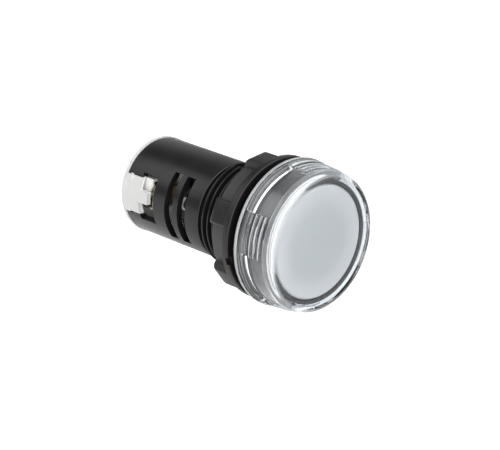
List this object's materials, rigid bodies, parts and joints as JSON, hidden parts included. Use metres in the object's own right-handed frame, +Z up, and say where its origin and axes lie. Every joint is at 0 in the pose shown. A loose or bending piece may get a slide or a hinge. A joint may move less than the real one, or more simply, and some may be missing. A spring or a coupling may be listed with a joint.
{
  "type": "panel pilot light",
  "caption": "Round panel pilot light: a clear ribbed lens cap over an opal disc, a threaded barrel with a finger nut for a panel hole, and side wire windows over screw clamps.",
  "frame": {"origin": "centre of the gasket's rear face, which meets the front of the panel", "axes": "+Y along the lamp from the panel to the terminals, +Z up, -X the side with the left wire window"},
  "size_m": [0.0308, 0.049, 0.0308],
  "materials": {
    "housing_nylon": "black glass-filled nylon, moulded",
    "nut_nylon": "black nylon, moulded",
    "gasket_rubber": "matt rubber",
    "clear_polycarbonate": "clear moulded polycarbonate, frosted grip pads",
    "opal_polycarbonate": "opal moulded polycarbonate",
    "white_solder_mask": "white solder mask",
    "dark_laminate": "glass laminate under a dark solder mask",
    "white_terminal_plastic": "white moulded polyamide",
    "tinned_contact": "tinned brass strip",
    "nickel_clamp": "nickel-plated steel",
    "nickel_screw": "nickel-plated steel",
    "capacitor_sleeve": "shrunk sleeve",
    "film_epoxy": "dipped epoxy",
    "resistor_coat": "lacquered body",
    "diode_epoxy": "moulded epoxy",
    "wire_insulation": "extruded insulation",
    "led_package": "moulded package with a phosphor cup"
  },
  "bodies": {
    "root": {"barrel_housing": "housing_nylon", "panel_gasket": "gasket_rubber", "diffuser": "opal_polycarbonate", "led_board": "white_solder_mask", "driver_board": "dark_laminate", "terminal_block": "white_terminal_plastic", "contact_left": "tinned_contact", "contact_right": "tinned_contact", "smoothing_capacitor": "capacitor_sleeve", "film_capacitor": "film_epoxy", "dropping_resistor": "resistor_coat", "bleed_resistor": "resistor_coat", "rectifier_diode_1": "diode_epoxy", "rectifier_diode_2": "diode_epoxy", "led_lead_left": "wire_insulation", "led_lead_right": "wire_insulation", "led_1": "led_package", "led_2": "led_package", "led_3": "led_package", "led_4": "led_package", "led_5": "led_package", "led_6": "led_package"},
    "lens_cap": {"lens_cap": "clear_polycarbonate"},
    "lock_nut": {"lock_nut": "nut_nylon"},
    "clamp_left": {"clamp_plate_left": "nickel_clamp"},
    "clamp_right": {"clamp_plate_right": "nickel_clamp"},
    "screw_left": {"terminal_screw_left": "nickel_screw"},
    "screw_right": {"terminal_screw_right": "nickel_screw"}
  },
  "joints": [
    {"name": "lens_cap_turn", "type": "hinge", "parent": "root", "child": "lens_cap", "pos_m": [0, 0, 0], "axis": [0, -1, 0], "range_deg": [0, 25]},
    {"name": "lock_nut_travel", "type": "slide", "parent": "root", "child": "lock_nut", "axis": [0, 1, 0], "range_m": [-0.0013, 0.0375]},
    {"name": "clamp_left_travel", "type": "slide", "parent": "root", "child": "clamp_left", "axis": [0, 1, 0], "range_m": [-0.00215, 0]},
    {"name": "screw_left_turn", "type": "hinge", "parent": "clamp_left", "child": "screw_left", "pos_m": [-0.00475, 0.0348, 0], "axis": [0, 1, 0], "range_deg": [-1548.2, 0]},
    {"name": "clamp_right_travel", "type": "slide", "parent": "root", "child": "clamp_right", "axis": [0, 1, 0], "range_m": [-0.00215, 0]},
    {"name": "screw_right_turn", "type": "hinge", "parent": "clamp_right", "child": "screw_right", "pos_m": [0.00475, 0.0348, 0], "axis": [0, 1, 0], "range_deg": [-1548.2, 0]}
  ],
  "couplings": [
    {"joint": "screw_left_turn", "follows": "clamp_left_travel", "rad_per_m": 12566},
    {"joint": "screw_right_turn", "follows": "clamp_right_travel", "rad_per_m": 12566}
  ]
}
